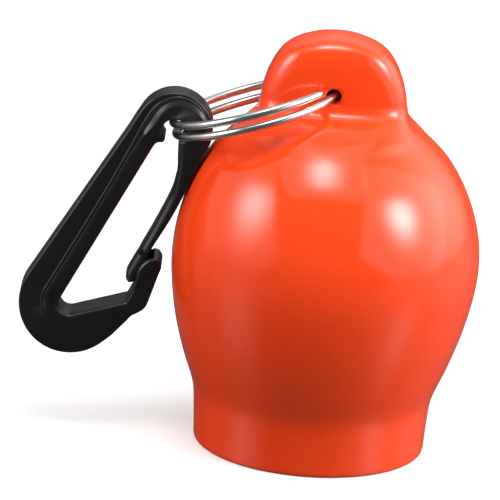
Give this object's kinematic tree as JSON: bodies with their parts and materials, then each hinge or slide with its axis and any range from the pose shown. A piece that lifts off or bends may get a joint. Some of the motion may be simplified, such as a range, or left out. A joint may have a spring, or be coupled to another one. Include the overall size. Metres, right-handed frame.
{
  "type": "regulator mouthpiece cover with snap hook",
  "caption": "Soft hollow bulb cover with an open round mouth and a holed tab, on a two-turn split ring with a moulded snap hook.",
  "frame": {"origin": "centre of the cover's open mouth, in the plane of its rim", "axes": "+Z from the mouth up to the tab, +X away from the snap hook, +Y along the tab's hole from front to back"},
  "size_m": [0.0783, 0.0528, 0.073],
  "materials": {
    "cover_vinyl": "glossy dip-moulded orange vinyl",
    "ring_steel": "bright stainless wire",
    "clip_plastic": "satin black moulded acetal"
  },
  "bodies": {
    "cover_body": {"cover": "cover_vinyl"},
    "ring_body": {"split_ring": "ring_steel"},
    "hook_body": {"clip_body": "clip_plastic"},
    "leaf_body": {"clip_gate": "clip_plastic"}
  },
  "joints": [
    {"name": "ring_swing", "type": "hinge", "parent": "cover_body", "child": "ring_body", "pos_m": [0, 0, 0.0633], "axis": [0, 1, 0], "range_deg": [0, 180]},
    {"name": "clip_swing", "type": "hinge", "parent": "ring_body", "child": "hook_body", "pos_m": [-0.02655, 0, 0.05457], "axis": [0, 1, 0], "range_deg": [0, 90]},
    {"name": "gate_flex", "type": "hinge", "parent": "hook_body", "child": "leaf_body", "pos_m": [-0.02541, 0, 0.04347], "axis": [0, 1, 0], "range_deg": [0, 16], "stiffness_Nm_per_rad": 0.1}
  ]
}
